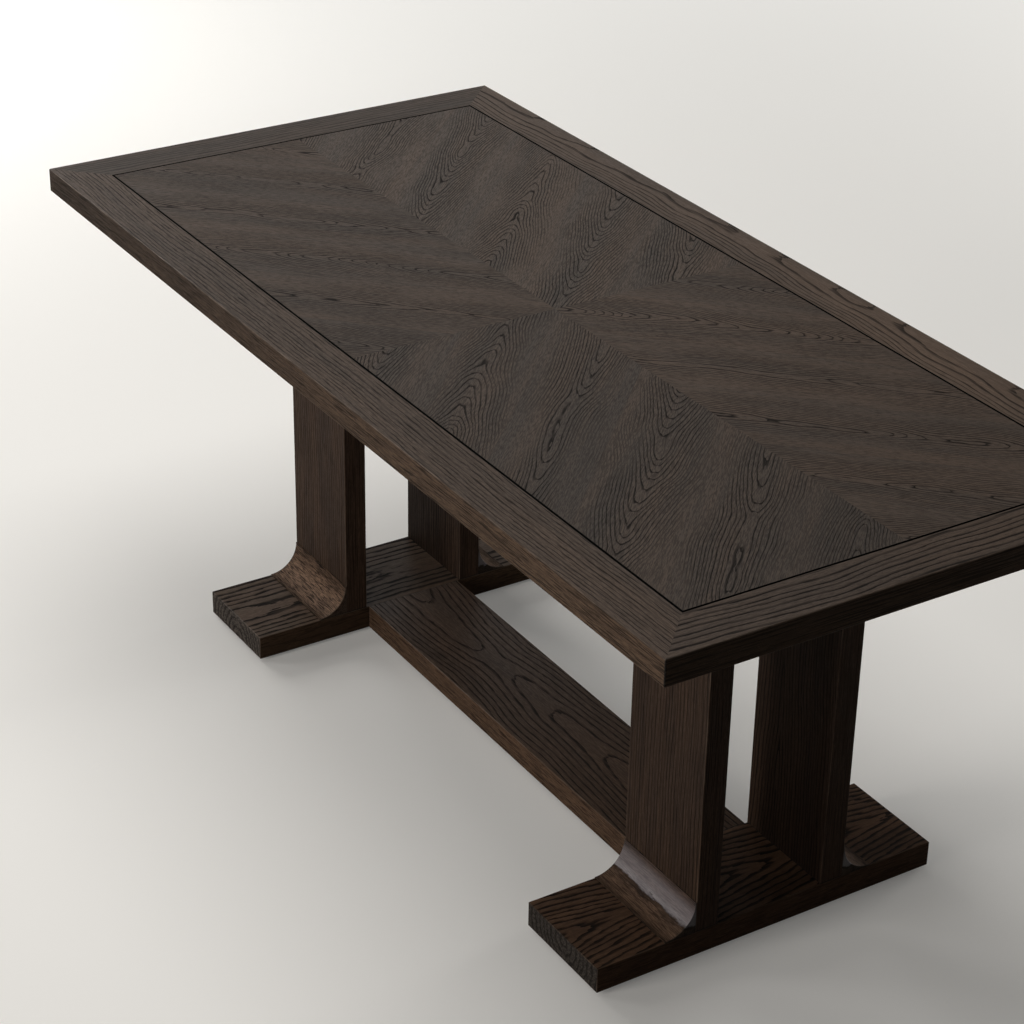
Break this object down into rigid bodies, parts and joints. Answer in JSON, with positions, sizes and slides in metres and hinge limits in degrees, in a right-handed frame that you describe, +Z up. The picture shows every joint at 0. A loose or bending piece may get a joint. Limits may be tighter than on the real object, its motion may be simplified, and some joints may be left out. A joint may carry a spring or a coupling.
{
  "type": "dining table",
  "caption": "Rectangular trestle dining table in dark smoked oak, with a mitred border round a diagonally matched veneer field, paired slab legs on coved feet, a low stretcher and levellers.",
  "frame": {"origin": "on the floor, under the middle of the top", "axes": "+X along the table to its right end, +Y across it to the back, +Z up"},
  "size_m": [1.829, 0.864, 0.762],
  "materials": {
    "smoked_oak_border": "open-grain satin lacquer",
    "smoked_oak_veneer": "open-grain satin lacquer",
    "core_board": "stained dark at the groove",
    "backing_veneer": "sealed",
    "smoked_oak_base": "open-grain satin lacquer",
    "joinery_wood": "raw beech",
    "steel": "zinc plated",
    "nylon": "moulded"
  },
  "bodies": {
    "table": {"long_rail_front": "smoked_oak_border", "long_rail_back": "smoked_oak_border", "end_rail_left": "smoked_oak_border", "end_rail_right": "smoked_oak_border", "veneer_front_left": "smoked_oak_veneer", "veneer_front_right": "smoked_oak_veneer", "veneer_back_left": "smoked_oak_veneer", "veneer_back_right": "smoked_oak_veneer", "panel_core": "core_board", "panel_backing": "backing_veneer", "post_left_front": "smoked_oak_base", "post_left_back": "smoked_oak_base", "post_right_front": "smoked_oak_base", "post_right_back": "smoked_oak_base", "cove_left_front": "smoked_oak_base", "cove_left_back": "smoked_oak_base", "cove_right_front": "smoked_oak_base", "cove_right_back": "smoked_oak_base", "foot_left": "smoked_oak_base", "foot_right": "smoked_oak_base", "stretcher": "smoked_oak_base", "bearer_left": "smoked_oak_base", "bearer_right": "smoked_oak_base", "mitre_splines": "joinery_wood", "panel_tongues": "joinery_wood", "post_dowels": "joinery_wood", "bearer_dowels": "joinery_wood", "stretcher_dowels": "joinery_wood", "post_screws": "steel", "post_washers": "steel", "plate_screws": "steel", "top_bolts": "steel", "top_inserts": "steel", "leveller_inserts": "steel", "joining_plate_left": "steel", "joining_plate_right": "steel"},
    "pad_left_front": {"leveller_pad_left_front": "nylon"},
    "stem_left_front": {"leveller_stem_left_front": "steel"},
    "pad_left_back": {"leveller_pad_left_back": "nylon"},
    "stem_left_back": {"leveller_stem_left_back": "steel"},
    "pad_right_front": {"leveller_pad_right_front": "nylon"},
    "stem_right_front": {"leveller_stem_right_front": "steel"},
    "pad_right_back": {"leveller_pad_right_back": "nylon"},
    "stem_right_back": {"leveller_stem_right_back": "steel"}
  },
  "joints": [
    {"name": "level_left_front", "type": "slide", "parent": "table", "child": "pad_left_front", "axis": [0, 0, -1], "range_m": [0, 0.012]},
    {"name": "turn_left_front", "type": "hinge", "parent": "pad_left_front", "child": "stem_left_front", "pos_m": [-0.523, -0.261, 0.008], "axis": [0, 0, -1], "range_deg": [0, 3450]},
    {"name": "level_left_back", "type": "slide", "parent": "table", "child": "pad_left_back", "axis": [0, 0, -1], "range_m": [0, 0.012]},
    {"name": "turn_left_back", "type": "hinge", "parent": "pad_left_back", "child": "stem_left_back", "pos_m": [-0.523, 0.261, 0.008], "axis": [0, 0, -1], "range_deg": [0, 3450]},
    {"name": "level_right_front", "type": "slide", "parent": "table", "child": "pad_right_front", "axis": [0, 0, -1], "range_m": [0, 0.012]},
    {"name": "turn_right_front", "type": "hinge", "parent": "pad_right_front", "child": "stem_right_front", "pos_m": [0.523, -0.261, 0.008], "axis": [0, 0, -1], "range_deg": [0, 3450]},
    {"name": "level_right_back", "type": "slide", "parent": "table", "child": "pad_right_back", "axis": [0, 0, -1], "range_m": [0, 0.012]},
    {"name": "turn_right_back", "type": "hinge", "parent": "pad_right_back", "child": "stem_right_back", "pos_m": [0.523, 0.261, 0.008], "axis": [0, 0, -1], "range_deg": [0, 3450]}
  ],
  "couplings": [
    {"joint": "level_left_front", "follows": "turn_left_front", "m_per_rad": 0.00019894},
    {"joint": "level_left_back", "follows": "turn_left_back", "m_per_rad": 0.00019894},
    {"joint": "level_right_front", "follows": "turn_right_front", "m_per_rad": 0.00019894},
    {"joint": "level_right_back", "follows": "turn_right_back", "m_per_rad": 0.00019894}
  ]
}
